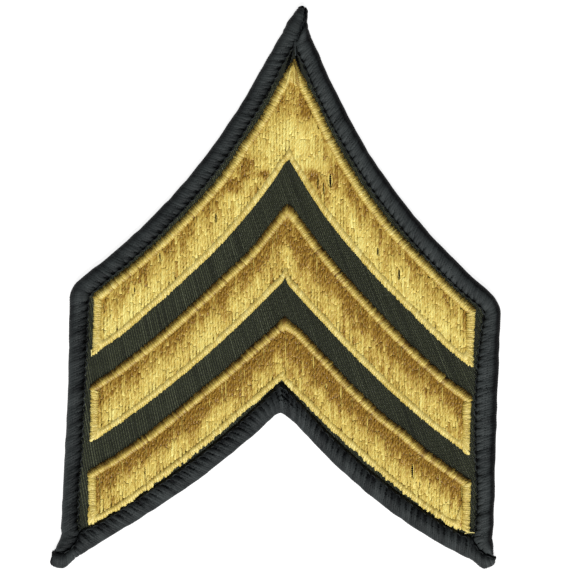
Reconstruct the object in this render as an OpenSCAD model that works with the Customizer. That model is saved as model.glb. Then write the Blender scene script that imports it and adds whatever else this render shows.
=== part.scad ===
// Sew-on rank patch with three embroidered chevrons inside an overlocked thread border.
// It lies face up: X across the patch, Y towards the peak, Z up, with the back on z = 0.

/* [Patch] */
// Width across the straight sides
patch_w = 77.8; // [64:0.1:100]
// Height from the bunched tip to the lowest stitch of the feet
patch_h = 103.4; // [90:0.1:125]
// Straight side, from the shoulder down to the foot
side_h = 48.7; // [40:0.1:58]
// How far the notch rises above the feet
notch_h = 28; // [22:0.1:36]
// How far a top edge bows in from a straight line
top_bow = 5.3; // [2:0.1:7]
// How far a lower edge bows out from a straight line
low_bow = 2.4; // [1:0.1:4]
// How much lower the left foot has stretched than the right one
toe_drop = 2.4; // [0:0.1:4]

/* [Ground cloth] */
// Thickness of the twill
ground_t = 1.0; // [0.6:0.05:1.8]
// How far the twill reaches into the border
tuck = 1.6; // [0.8:0.1:2]

/* [Border] */
// Width of the overlocked border along the top and the sides, from its needle line to the edge
border_w = 2.85; // [2.4:0.05:4]
// Width of the border along the bottom, where it meets the gold
border_low_w = 3.5; // [2.6:0.05:4.5]
// Thread thickness of the border under the twill
border_under = 0.4; // [0.3:0.05:0.8]
// Thread thickness of the border over the twill, at its crest
border_over = 0.8; // [0.5:0.05:1.5]
// How far above the bunched tip the two top edges would meet
tip_cut = 2.8; // [1.5:0.05:5]
// How far below the corner of the right foot the lowest stitch lies
foot_reach = 2.3; // [1:0.05:5]
// Radius of the needle line at the tip and the feet
corner_r = 0.4; // [0.2:0.05:1]
// Radius of the needle line at the shoulders
shoulder_r = 2.0; // [1:0.1:4]
// How round the notch is
notch_r = 0.8; // [0.4:0.1:3]
// Length of side over which the border flares into a foot
flare_len = 4; // [2:0.5:10]
// Size of the bunched thread on the left foot, as a factor
bunch_left = 1.14; // [0.5:0.01:1.5]
// Size of the bunched thread on the right foot, as a factor
bunch_right = 0.9; // [0.5:0.01:1.5]

/* [Chevrons] */
// Bare twill between the needle line and the gold along the top
top_margin = 1.15; // [0.6:0.05:2]
// Bare twill between the needle line and the gold at the sides
side_margin = 1.45; // [0.6:0.05:2.5]
// Bare twill between the needle line and the gold along the bottom
low_margin = 0.2; // [0.1:0.05:1.5]
// How blunt the gold is at the peaks
peak_r = 0.35; // [0.1:0.05:1]
// Width of the satin edging along the top of a chevron
edging_top = 1.25; // [0.7:0.05:2]
// Width of the satin edging at the ends of a chevron
edging_end = 1.3; // [0.7:0.05:2]
// Width of the satin edging along the bottom of a chevron
edging_low = 0.85; // [0.5:0.05:1.6]
// Height of the satin edging over the twill
edging_h = 0.95; // [0.5:0.05:1.5]
// Height of the fill over the twill, at its edges
fill_edge_h = 0.5; // [0.3:0.05:1]
// Height of the fill over the twill, along its middle
fill_mid_h = 0.85; // [0.4:0.05:1.3]

/* [Fit] */
// Gap between the pieces
gap = 0.05; // [0.02:0.01:0.1]

/* [Hidden] */

half_w = patch_w / 2;
peak_y = patch_h / 2 + tip_cut;
foot_y = -patch_h / 2 + foot_reach;
shoulder_y = foot_y + side_h;
notch_y = foot_y + notch_h;

// Heights, from the surface that the patch lies on
ground_z = border_under + gap;
face_z = ground_z + ground_t;
crest_z = face_z + border_over;
stitch_z = face_z + gap;

// Half width of the gold field
field_w = half_w - border_w - side_margin;

// Half width between the needle lines of the sides
line_w = half_w - border_w;

// How many steps each edge is drawn in
TOP_STEPS = 14;
SIDE_STEPS = 8;
LOW_STEPS = 12;
SHOULDER_STEPS = 4;
STRIPE_STEPS = 12;

// Fan of stitches around the tip: [share of the turn, reach in border widths], right to left
TIP_FAN = [
    [0.00, 1.00], [0.11, 1.05], [0.20, 1.18], [0.30, 1.52], [0.35, 2.03], [0.41, 2.32],
    [0.467, 2.10], [0.56, 1.76], [0.63, 1.52], [0.72, 1.22], [0.85, 1.04], [1.00, 1.00]
];

// Fan of stitches around a foot: [share of the turn, reach in border widths], side to bottom
FOOT_FAN = [
    [0.00, 1.08], [0.116, 1.18], [0.215, 1.40], [0.28, 1.60], [0.34, 1.86], [0.39, 2.00],
    [0.44, 2.02], [0.50, 1.94], [0.56, 1.80], [0.63, 1.50], [0.70, 1.24], [0.78, 1.12],
    [0.88, 1.05], [1.00, 1.00]
];

// Edges between the chevrons: [share down the axis, share down the sides, bow as a share of the
// field's half width]
UPPER_LOW = [0.328, 0.258, 0.060];
MIDDLE_TOP = [0.461, 0.395, 0.047];
MIDDLE_LOW = [0.688, 0.646, 0.041];
LOWER_TOP = [0.797, 0.764, 0.041];

// Section of the border: [share of the width, share of the height], over the top and back below
BORDER_TOP = [
    [0.00, 0.82], [0.10, 0.93], [0.30, 1.00], [0.52, 1.00], [0.75, 0.90], [0.92, 0.70],
    [1.00, 0.46], [0.95, 0.20], [0.82, 0.00]
];
// Where its underside starts, as a share of the width, and how far its inner corner is rounded up
BORDER_HEEL = 0.10;
HEEL_UP = 0.3;

// Section of the edging: [share of the width, share of the height]
EDGING_SECTION = [
    [0.00, 0.00], [0.00, 0.45], [0.14, 0.80], [0.38, 0.98], [0.62, 0.98], [0.86, 0.80],
    [1.00, 0.50], [1.00, 0.00]
];

// Rows of the fill from its lower edge to its upper one
FILL_ROWS = 7;
// Length over which the fill sinks towards its ends, as a share of its half width
FILL_END = 0.12;

// Arc on the right of the axis from [0, start] to [x, end], as [centre x, centre y, radius]
function arc(start, x, end, bow) =
    let (
        chord = norm([x, start - end]),
        radius = chord * chord / (8 * bow) + bow / 2,
        lift = radius - bow
    )
    [x / 2 + lift * (start - end) / chord, (start + end) / 2 + lift * x / chord, radius];

// Height of an arc at x, after its radius has grown by d
function arc_y(a, x, d = 0) = a.y - sqrt(pow(a.z + d, 2) - pow(a.x - x, 2));

// Direction from the centre of an arc to a point
function bearing(a, p) = atan2(p.y - a.y, p.x - a.x);
function polar(c, r, angle) = [c.x + r * cos(angle), c.y + r * sin(angle)];
function mirrored(p) = [-p.x, p.y];
function reversed(list) = [for (i = [len(list) - 1:-1:0]) list[i]];
function mix(a, b, t) = a + (b - a) * t;
function clamp(t) = max(0, min(1, t));

TOP = arc(peak_y, half_w, shoulder_y, top_bow);
LOW = arc(notch_y, half_w, foot_y, low_bow);

// The cloth has stretched a little towards its left foot
function settle(p) = [
    p.x,
    p.y - toe_drop * pow(clamp(-p.x / half_w), 4) * clamp(-2 * p.y / patch_h)
];

// Centres that the needle line turns around
tip_c = [0, arc_y(TOP, 0, border_w + corner_r)];
shoulder_x = line_w - shoulder_r;
shoulder_c = [shoulder_x, arc_y(TOP, shoulder_x, border_w + shoulder_r)];
foot_x = line_w - corner_r;
foot_c = [foot_x, arc_y(LOW, foot_x, -border_low_w - corner_r)];

// A station of the border is [point on the needle line, point on the outer edge]
function fan_station(c, r, angle, wide) = [polar(c, r, angle), polar(c, r + wide, angle)];

tip_turn = bearing(TOP, tip_c) + 180;
TIP = [
    for (row = TIP_FAN)
        fan_station(tip_c, corner_r, mix(tip_turn, 180 - tip_turn, row[0]), border_w * row[1])
];

function top_stations() =
    let (start = bearing(TOP, tip_c), end = bearing(TOP, shoulder_c))
    [
        for (i = [1:TOP_STEPS - 1])
            let (angle = mix(start, end, i / TOP_STEPS))
            [polar(TOP, TOP.z + border_w, angle), polar(TOP, TOP.z, angle)]
    ];

function shoulder_stations() =
    let (start = bearing(TOP, shoulder_c) + 180)
    [
        for (i = [0:SHOULDER_STEPS])
            fan_station(shoulder_c, shoulder_r, mix(start, 0, i / SHOULDER_STEPS), border_w)
    ];

function side_stations(bunch) =
    let (flare = (FOOT_FAN[0][1] - 1) * bunch)
    [
        for (i = [1:SIDE_STEPS - 1])
            let (
                y = mix(shoulder_c.y, foot_c.y, 1 - pow(1 - i / SIDE_STEPS, 1.6)),
                near = clamp(1 - (y - foot_c.y) / flare_len)
            )
            [[line_w, y], [half_w + border_w * flare * pow(near, 2), y]]
    ];

function foot_stations(bunch) =
    let (end = bearing(LOW, foot_c))
    [
        for (row = FOOT_FAN)
            let (wide = mix(border_w, border_low_w, row[0]) * (1 + (row[1] - 1) * bunch))
            fan_station(foot_c, corner_r, mix(0, end, row[0]), wide)
    ];

// An edge that turns at the axis goes round there: this blunts x by a radius
function blunt(x, r) = sqrt(x * x + r * r);

// Towards the notch the stitches turn to the axis
function low_station(x) =
    let (
        lean = bearing(LOW, [x, arc_y(LOW, x, -border_low_w)]),
        out_x = x + border_low_w * cos(lean) * clamp(x / (2 * border_low_w))
    )
    [
        [x, arc_y(LOW, blunt(x, corner_r), -border_low_w)],
        [out_x, arc_y(LOW, blunt(out_x, notch_r))]
    ];
function low_stations() = [
    for (i = [LOW_STEPS - 1:-1:1]) low_station(foot_x * pow(i / LOW_STEPS, 1.3))
];

function half_stations(bunch) = concat(
    top_stations(), shoulder_stations(), side_stations(bunch), foot_stations(bunch), low_stations()
);
function flip(stations) = [for (s = stations) [mirrored(s[0]), mirrored(s[1])]];

// Stations all the way round, clockwise from the tip
STATIONS = [
    for (s = concat(
        reversed(TIP), half_stations(bunch_right),
        [low_station(0)], reversed(flip(half_stations(bunch_left)))
    ))
        [settle(s[0]), settle(s[1])]
];

// Point of a station at a distance out from the needle line
function out_from_line(s, d) = s[0] + (s[1] - s[0]) / norm(s[1] - s[0]) * d;

function border_section(s) =
    let (wide = norm(s[1] - s[0]), slot = tuck + gap)
    concat(
        [for (row = BORDER_TOP) [out_from_line(s, wide * row[0]), crest_z * row[1]]],
        [[out_from_line(s, wide * BORDER_HEEL), 0], [s[0], border_under * HEEL_UP]],
        [[s[0], ground_z - gap], [out_from_line(s, slot), ground_z - gap]],
        [[out_from_line(s, slot), face_z + gap], [s[0], face_z + gap]]
    );

// Closed tube through sections that each hold [point, height] pairs
module ring(sections) {
    count = len(sections);
    size = len(sections[0]);
    points = [for (s = sections, p = s) [p[0].x, p[0].y, p[1]]];
    faces = [
        for (i = [0:count - 1], j = [0:size - 1])
            let (
                next = (i + 1) % count,
                up = (j + 1) % size,
                a = i * size + j, b = i * size + up,
                c = next * size + up, d = next * size + j
            )
            each [[a, b, c], [a, c, d]]
    ];
    polyhedron(points, faces, convexity = 10);
}

module ground() {
    color("#2b3427")
    translate([0, 0, ground_z])
    linear_extrude(ground_t)
    polygon([for (s = STATIONS) out_from_line(s, tuck)]);
}

module border() {
    color("#2c3032")
    ring([for (s = STATIONS) border_section(s)]);
}

// Arcs of the gold field, and an arc between them from a row of shares
FIELD_TOP = [TOP.x, TOP.y, TOP.z + border_w + top_margin];
FIELD_LOW = [LOW.x, LOW.y, LOW.z - border_low_w - low_margin];
function between(row) =
    arc(
        mix(arc_y(FIELD_TOP, 0), arc_y(FIELD_LOW, 0), row[0]),
        field_w,
        mix(arc_y(FIELD_TOP, field_w), arc_y(FIELD_LOW, field_w), row[1]),
        field_w * row[2]
    );

// A chevron is [arc of its top edge, arc of its lower edge]
UPPER = [FIELD_TOP, between(UPPER_LOW)];
MIDDLE = [between(MIDDLE_TOP), between(MIDDLE_LOW)];
LOWER = [between(LOWER_TOP), FIELD_LOW];

// Edges of a chevron, pulled in by a distance
function stripe_top(stripe, x, pull) = arc_y(stripe[0], blunt(x, peak_r), pull);
function stripe_low(stripe, x, pull) = arc_y(stripe[1], x, -pull);

// Outline of a chevron, pulled in from its edges by [top, end, lower edge]
function outline(stripe, pull) =
    let (
        xs = [for (i = [0:STRIPE_STEPS]) (field_w - pull[1]) * pow(i / STRIPE_STEPS, 1.2)],
        right = concat(
            [for (x = xs) [x, stripe_top(stripe, x, pull[0])]],
            [for (x = reversed(xs)) [x, stripe_low(stripe, x, pull[2])]]
        ),
        left = [for (i = [len(right) - 2:-1:1]) mirrored(right[i])]
    )
    [for (p = concat(right, left)) settle(p)];

EDGING = [edging_top, edging_end, edging_low];

module edging(stripe) {
    loops = [for (row = EDGING_SECTION) outline(stripe, EDGING * row[0])];
    color("#e6cb6c")
    ring([
        for (i = [0:len(loops[0]) - 1])
            [for (k = [len(loops) - 1:-1:0]) [loops[k][i], stitch_z + edging_h * EDGING_SECTION[k][1]]]
    ]);
}

// Height of the fill at a share v across it and a share u along its half width
function fill_h(u, v) =
    mix(fill_edge_h, fill_mid_h, sin(180 * v) * clamp((1 - u) / FILL_END));

module fill(stripe) {
    pull = EDGING + [gap, gap, gap];
    last = 2 * STRIPE_STEPS;
    // Rows of each section: over the top from the lower edge, then back along the base
    sections = [
        for (i = [-STRIPE_STEPS:STRIPE_STEPS])
            let (
                u = abs(i) / STRIPE_STEPS,
                x = (field_w - pull[1]) * pow(u, 1.2),
                top_y = stripe_top(stripe, x, pull[0]),
                low_y = stripe_low(stripe, x, pull[2]),
                row = [
                    for (j = [0:FILL_ROWS - 1])
                        settle([sign(i) * x, mix(low_y, top_y, j / (FILL_ROWS - 1))])
                ]
            )
            concat(
                [
                    for (j = [0:FILL_ROWS - 1])
                        [row[j].x, row[j].y, stitch_z + fill_h(u, j / (FILL_ROWS - 1))]
                ],
                [for (p = reversed(row)) [p.x, p.y, stitch_z]]
            )
    ];
    size = 2 * FILL_ROWS;
    sides = [
        for (i = [0:last - 1], j = [0:size - 1])
            let (
                up = (j + 1) % size,
                a = i * size + j, b = i * size + up,
                c = (i + 1) * size + up, d = (i + 1) * size + j
            )
            each [[a, b, c], [a, c, d]]
    ];
    ends = [
        for (j = [0:FILL_ROWS - 2])
            let (a = j, b = j + 1, c = size - 2 - j, d = size - 1 - j, far = last * size)
            each [
                [a, c, b], [a, d, c],
                [far + a, far + b, far + c], [far + a, far + c, far + d]
            ]
    ];
    color("#c8a34a")
    polyhedron([for (s = sections) each s], concat(sides, ends), convexity = 10);
}

module upper_chevron_fill() { fill(UPPER); }
module upper_chevron_edging() { edging(UPPER); }
module middle_chevron_fill() { fill(MIDDLE); }
module middle_chevron_edging() { edging(MIDDLE); }
module lower_chevron_fill() { fill(LOWER); }
module lower_chevron_edging() { edging(LOWER); }

ground();
border();
upper_chevron_fill();
upper_chevron_edging();
middle_chevron_fill();
middle_chevron_edging();
lower_chevron_fill();
lower_chevron_edging();
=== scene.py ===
"""Sew-on rank patch: the threads of its embroidery, border and twill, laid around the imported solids.

Lengths are in millimetres until a mesh is made. X runs across the patch, Y to its peak, Z out of its face.
"""

import math

import bpy
import numpy as np
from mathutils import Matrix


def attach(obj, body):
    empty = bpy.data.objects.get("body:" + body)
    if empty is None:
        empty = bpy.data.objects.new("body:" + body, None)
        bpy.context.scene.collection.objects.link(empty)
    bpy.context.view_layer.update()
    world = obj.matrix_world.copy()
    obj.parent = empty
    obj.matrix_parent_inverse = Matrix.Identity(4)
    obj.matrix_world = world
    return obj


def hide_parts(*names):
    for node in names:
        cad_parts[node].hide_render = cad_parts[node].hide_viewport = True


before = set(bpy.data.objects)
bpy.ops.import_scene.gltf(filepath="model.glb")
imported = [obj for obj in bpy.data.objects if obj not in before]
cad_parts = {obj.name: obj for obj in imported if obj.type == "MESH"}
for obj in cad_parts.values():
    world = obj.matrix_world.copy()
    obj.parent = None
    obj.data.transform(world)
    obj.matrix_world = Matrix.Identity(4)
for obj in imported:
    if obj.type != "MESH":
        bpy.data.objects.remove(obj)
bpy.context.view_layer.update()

MM = 0.001
SEED = 20

# Sizes of the patch, as its solids have them
PATCH_W = 77.8
PATCH_H = 103.4
SIDE_H = 48.7
NOTCH_H = 28.0
TOP_BOW = 5.3
LOW_BOW = 2.4
TOE_DROP = 2.4
GROUND_T = 1.0
BORDER_W = 2.85
BORDER_LOW_W = 3.5
BORDER_UNDER = 0.4
BORDER_OVER = 0.8
TIP_CUT = 2.8
FOOT_REACH = 2.3
CORNER_R = 0.4
SHOULDER_R = 2.0
NOTCH_R = 0.8
FLARE_LEN = 4.0
BUNCH_LEFT = 1.14
BUNCH_RIGHT = 0.9
TOP_MARGIN = 1.15
SIDE_MARGIN = 1.45
LOW_MARGIN = 0.2
PEAK_R = 0.35
EDGING_TOP = 1.25
EDGING_END = 1.3
EDGING_LOW = 0.85
EDGING_H = 0.95
FILL_EDGE_H = 0.6
FILL_LOW_H = 0.8
FILL_MID_H = 0.85
GAP = 0.05

HALF_W = PATCH_W / 2
PEAK_Y = PATCH_H / 2 + TIP_CUT
FOOT_Y = -PATCH_H / 2 + FOOT_REACH
SHOULDER_Y = FOOT_Y + SIDE_H
NOTCH_Y = FOOT_Y + NOTCH_H
GROUND_Z = BORDER_UNDER + GAP
FACE_Z = GROUND_Z + GROUND_T
CREST_Z = FACE_Z + BORDER_OVER
STITCH_Z = FACE_Z + GAP
FIELD_W = HALF_W - BORDER_W - SIDE_MARGIN
LINE_W = HALF_W - BORDER_W

# Fans of stitches round the tip and round a foot: [share of the turn, reach in border widths]
TIP_FAN = [
    [0, 1], [0.11, 1.05], [0.2, 1.18], [0.3, 1.52], [0.35, 2.03], [0.41, 2.32],
    [0.467, 2.1], [0.56, 1.76], [0.63, 1.52], [0.72, 1.22], [0.85, 1.04], [1, 1],
]
FOOT_FAN = [
    [0, 1.08], [0.116, 1.18], [0.215, 1.4], [0.28, 1.6], [0.34, 1.86], [0.39, 2],
    [0.44, 2.02], [0.5, 1.94], [0.56, 1.8], [0.63, 1.5], [0.7, 1.24], [0.78, 1.12],
    [0.88, 1.05], [1, 1],
]

# Where two bands of the border meet, one runs on into the bunched thread and the other ends against it
# along a crease. Rows: [share of the fan's turn, share along the crease]
TIP_OVER = [
    [1, 0], [0.85, 0.12], [0.78, 0.22], [0.72, 0.32], [0.67, 0.42], [0.63, 0.5], [0.59, 0.58],
    [0.56, 0.65], [0.51, 0.75], [0.467, 0.83], [0.44, 0.9], [0.42, 0.96],
]
TIP_UNDER = [
    [0, 0], [0.05, 0.08], [0.11, 0.17], [0.15, 0.25], [0.2, 0.34], [0.25, 0.45], [0.3, 0.58],
    [0.32, 0.7], [0.35, 0.85], [0.37, 0.96],
]
FOOT_OVER = [
    [1, 0], [0.88, 0.12], [0.78, 0.25], [0.7, 0.36], [0.63, 0.5], [0.56, 0.65], [0.5, 0.76],
    [0.44, 0.86], [0.39, 0.93], [0.35, 0.98],
]
FOOT_UNDER = [
    [0, 0.02], [0.05, 0.14], [0.1, 0.28], [0.15, 0.42], [0.215, 0.62], [0.25, 0.8], [0.3, 0.96],
]
# Points that the creases bend towards, from the middle of their corner, and the shares where they end
TIP_KNEE, TIP_END = (1.6, 1.9), 0.39
LEFT_KNEE, LEFT_END = (0.75, -4.0), 0.28
RIGHT_KNEE, RIGHT_END = (1.1, -2.8), 0.33

# Edges between the chevrons: share down the axis, share down the sides, bow as a share of the half width
UPPER_LOW = (0.328, 0.258, 0.06)
MIDDLE_TOP = (0.461, 0.395, 0.047)
MIDDLE_LOW = (0.688, 0.646, 0.041)
LOWER_TOP = (0.797, 0.764, 0.041)


# Curves of the outline


def arc(start, x, end, bow):
    """Arc from (0, start) to (x, end) that bows down, as its centre and radius."""
    chord = math.hypot(x, start - end)
    radius = chord * chord / (8 * bow) + bow / 2
    lift = radius - bow
    return x / 2 + lift * (start - end) / chord, (start + end) / 2 + lift * x / chord, radius


def arc_y(a, x, d=0.0):
    return a[1] - np.sqrt((a[2] + d) ** 2 - (a[0] - x) ** 2)


def bearing(a, p):
    return math.atan2(p[1] - a[1], p[0] - a[0])


def polar(c, r, angle):
    return np.array([c[0] + r * math.cos(angle), c[1] + r * math.sin(angle)])


def mix(a, b, t):
    return a + (b - a) * t


def smooth(t):
    t = np.clip(t, 0, 1)
    return t * t * (3 - 2 * t)


def read(rows, x):
    """The value that a table of pairs gives at x."""
    return np.interp(x, *np.transpose(rows))


def blunt(x, r):
    return np.sqrt(x * x + r * r)


def settle(points):
    """The cloth has stretched a little towards its left foot."""
    points = np.array(points, float)
    x, y = points[..., 0], points[..., 1]
    points[..., 1] = y - TOE_DROP * np.clip(-x / HALF_W, 0, 1) ** 4 * np.clip(-2 * y / PATCH_H, 0, 1)
    return points


# The needle line as it was sewn on the left and the right side. Rows: [y, how far in from the solid's]
NEEDLE_STRAY = (
    [[-45, 0], [-41, -0.15], [-36, -0.12], [-32, 0.12], [-25, 0.16], [-18, 0.22], [-10, 0.36],
     [-3, 0.38], [2, 0]],
    [[-45, 0], [-41, -0.2], [-37, -0.36], [-32, 0], [-26, 0.48], [-19, 0.7], [-11, 0.46], [-7, 0.1],
     [-3, -0.35], [2, 0]],
)
# How far from the axis the sides' own stations begin
SIDE_X = 33.0


def sewn(stations):
    """Stations on the settled cloth, each with its needle point moved to where it was sewn."""
    stations = settle(stations)
    needle = stations[:, 0]
    for rows, side in zip(NEEDLE_STRAY, (-1, 1)):
        on_side = smooth((side * needle[:, 0] - SIDE_X) / 2)
        needle[:, 0] -= side * on_side * read(rows, needle[:, 1])
    return stations


TOP = arc(PEAK_Y, HALF_W, SHOULDER_Y, TOP_BOW)
LOW = arc(NOTCH_Y, HALF_W, FOOT_Y, LOW_BOW)


def between(row):
    return arc(
        mix(arc_y(FIELD_TOP, 0), arc_y(FIELD_LOW, 0), row[0]),
        FIELD_W,
        mix(arc_y(FIELD_TOP, FIELD_W), arc_y(FIELD_LOW, FIELD_W), row[1]),
        FIELD_W * row[2],
    )


FIELD_TOP = (TOP[0], TOP[1], TOP[2] + BORDER_W + TOP_MARGIN)
FIELD_LOW = (LOW[0], LOW[1], LOW[2] - BORDER_LOW_W - LOW_MARGIN)
CHEVRONS = {
    "upper": (FIELD_TOP, between(UPPER_LOW)),
    "middle": (between(MIDDLE_TOP), between(MIDDLE_LOW)),
    "lower": (between(LOWER_TOP), FIELD_LOW),
}


def stripe_top(stripe, x, pull=0.0):
    return arc_y(stripe[0], blunt(x, PEAK_R), pull)


def stripe_low(stripe, x, pull=0.0):
    return arc_y(stripe[1], np.abs(x), -pull)


# The border's stations: a point on its needle line and one on its outer edge. How many steps each stretch
# has, and how they crowd towards the foot and the notch
ARC_STEPS = 14
SHOULDER_STEPS = 4
SIDE_STEPS, SIDE_CROWD = 8, 1.6
LOW_STEPS, LOW_CROWD = 12, 1.3

TIP_C = (0, arc_y(TOP, 0, BORDER_W + CORNER_R))
SHOULDER_C = (LINE_W - SHOULDER_R, arc_y(TOP, LINE_W - SHOULDER_R, BORDER_W + SHOULDER_R))
FOOT_C = (LINE_W - CORNER_R, arc_y(LOW, LINE_W - CORNER_R, -BORDER_LOW_W - CORNER_R))
TIP_TURN = bearing(TOP, TIP_C) + math.pi
FOOT_TURN = bearing(LOW, FOOT_C)


def fan(c, r, angle, wide):
    return polar(c, r, angle), polar(c, r + wide, angle)


def tip_fan(share):
    """The tip's fan turns from its right side at share 0 to its left side at share 1."""
    return fan(TIP_C, CORNER_R, mix(TIP_TURN, math.pi - TIP_TURN, share), BORDER_W * read(TIP_FAN, share))


def foot_fan(share, bunch):
    """The right foot's fan turns from its side at share 0 to its bottom at share 1."""
    reach = mix(1, read(FOOT_FAN, share), bunch)
    return fan(FOOT_C, CORNER_R, mix(0, FOOT_TURN, share), mix(BORDER_W, BORDER_LOW_W, share) * reach)


def low_station(x):
    lean = bearing(LOW, (x, arc_y(LOW, x, -BORDER_LOW_W)))
    out_x = x + BORDER_LOW_W * math.cos(lean) * min(1.0, x / (2 * BORDER_LOW_W))
    needle = (x, arc_y(LOW, blunt(x, CORNER_R), -BORDER_LOW_W))
    return np.array(needle), np.array((out_x, arc_y(LOW, blunt(out_x, NOTCH_R))))


def upper_stations(bunch):
    """Down the right side, from next to the tip to next to the foot."""
    start, end = bearing(TOP, TIP_C), bearing(TOP, SHOULDER_C)
    made = []
    for t in np.arange(1, ARC_STEPS) / ARC_STEPS:
        angle = mix(start, end, t)
        made.append((polar(TOP, TOP[2] + BORDER_W, angle), polar(TOP, TOP[2], angle)))
    for t in np.arange(SHOULDER_STEPS + 1) / SHOULDER_STEPS:
        made.append(fan(SHOULDER_C, SHOULDER_R, mix(end + math.pi, 0, t), BORDER_W))
    for t in np.arange(1, SIDE_STEPS) / SIDE_STEPS:
        y = mix(SHOULDER_C[1], FOOT_C[1], 1 - (1 - t) ** SIDE_CROWD)
        near = max(0.0, 1 - (y - FOOT_C[1]) / FLARE_LEN)
        flare = BORDER_W * (FOOT_FAN[0][1] - 1) * bunch * near**2
        made.append((np.array([LINE_W, y]), np.array([HALF_W + flare, y])))
    return made


def low_stations():
    """Along the bottom of the right leg, from next to the foot to next to the notch."""
    return [low_station(FOOT_C[0] * (i / LOW_STEPS) ** LOW_CROWD) for i in range(LOW_STEPS - 1, 0, -1)]


def mirrored(stations):
    return [(a * [-1, 1], b * [-1, 1]) for a, b in stations]


def border_outline():
    """Stations all the way round, clockwise from the tip, as the solid has them."""
    def half(bunch):
        foot = [foot_fan(row[0], bunch) for row in FOOT_FAN]
        return upper_stations(bunch) + foot + low_stations()

    tip = [tip_fan(row[0]) for row in TIP_FAN]
    left = mirrored(half(BUNCH_LEFT))
    return sewn(tip[::-1] + half(BUNCH_RIGHT) + [low_station(0.0)] + left[::-1])


def crease(start, knee, end, t):
    return (1 - t) ** 2 * start + 2 * t * (1 - t) * knee + t**2 * end


def border_runs():
    """The border as it was sewn: three bands, each clockwise, whose ends bunch at the tip and the feet."""
    tip_start, tip_end = np.array(TIP_C), tip_fan(TIP_END)[1]
    tip_knee = tip_start + TIP_KNEE

    def tip_rows(rows):
        return [(crease(tip_start, tip_knee, tip_end, t), tip_fan(share)[1]) for share, t in rows]

    def foot_rows(rows, bunch, knee, end):
        start, last = np.array(FOOT_C), foot_fan(end, bunch)[1]
        return [(crease(start, start + knee, last, t), foot_fan(share, bunch)[1]) for share, t in rows]

    right_foot = BUNCH_RIGHT, np.array(RIGHT_KNEE), RIGHT_END
    left_foot = BUNCH_LEFT, np.array(LEFT_KNEE), LEFT_END
    right = tip_rows(TIP_UNDER)[::-1] + upper_stations(BUNCH_RIGHT) + foot_rows(FOOT_UNDER, *right_foot)
    low = foot_rows(FOOT_OVER, *right_foot)[::-1] + low_stations() + [low_station(0.0)]
    low += mirrored(foot_rows(FOOT_OVER, *left_foot)[::-1] + low_stations())[::-1]
    left = mirrored(upper_stations(BUNCH_LEFT) + foot_rows(FOOT_UNDER, *left_foot))[::-1]
    return [sewn(right), sewn(low), sewn(left + tip_rows(TIP_OVER))]


# Smooth random fields


def lattice_noise(seed, span=64):
    """A field from -1 to 1 over the plane, with features one unit across and its own generator."""
    table = np.random.default_rng(SEED * 1000 + seed).uniform(-1, 1, (span, span))

    def at(x, y):
        x, y = np.broadcast_arrays(np.asarray(x, float), np.asarray(y, float))
        i, j = np.floor(x).astype(int), np.floor(y).astype(int)
        u, v = smooth(x - i), smooth(y - j)
        low = mix(table[i % span, j % span], table[(i + 1) % span, j % span], u)
        high = mix(table[i % span, (j + 1) % span], table[(i + 1) % span, (j + 1) % span], u)
        return mix(low, high, v)

    return at


# Meshes of many threads

# The direction across an upright thread
ACROSS = (1.0, 0.0, 0.0)


def put(name, data):
    made = bpy.data.objects.new(name, data)
    bpy.context.scene.collection.objects.link(made)
    return made


def any_phase(rng):
    return rng.uniform(0, 6.28)


def unit(vectors):
    return vectors / np.linalg.norm(vectors, axis=-1, keepdims=True)


def right_of(way):
    """Vectors in the plane, each square to a way and to its right."""
    return np.stack([way[..., 1], -way[..., 0]], -1)


def laid(x, y, z):
    """Points of a line on the settled cloth."""
    x, y, z = np.broadcast_arrays(x, y, z)
    return np.concatenate([settle(np.stack([x, y], 1)), z[:, None]], 1)


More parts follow.
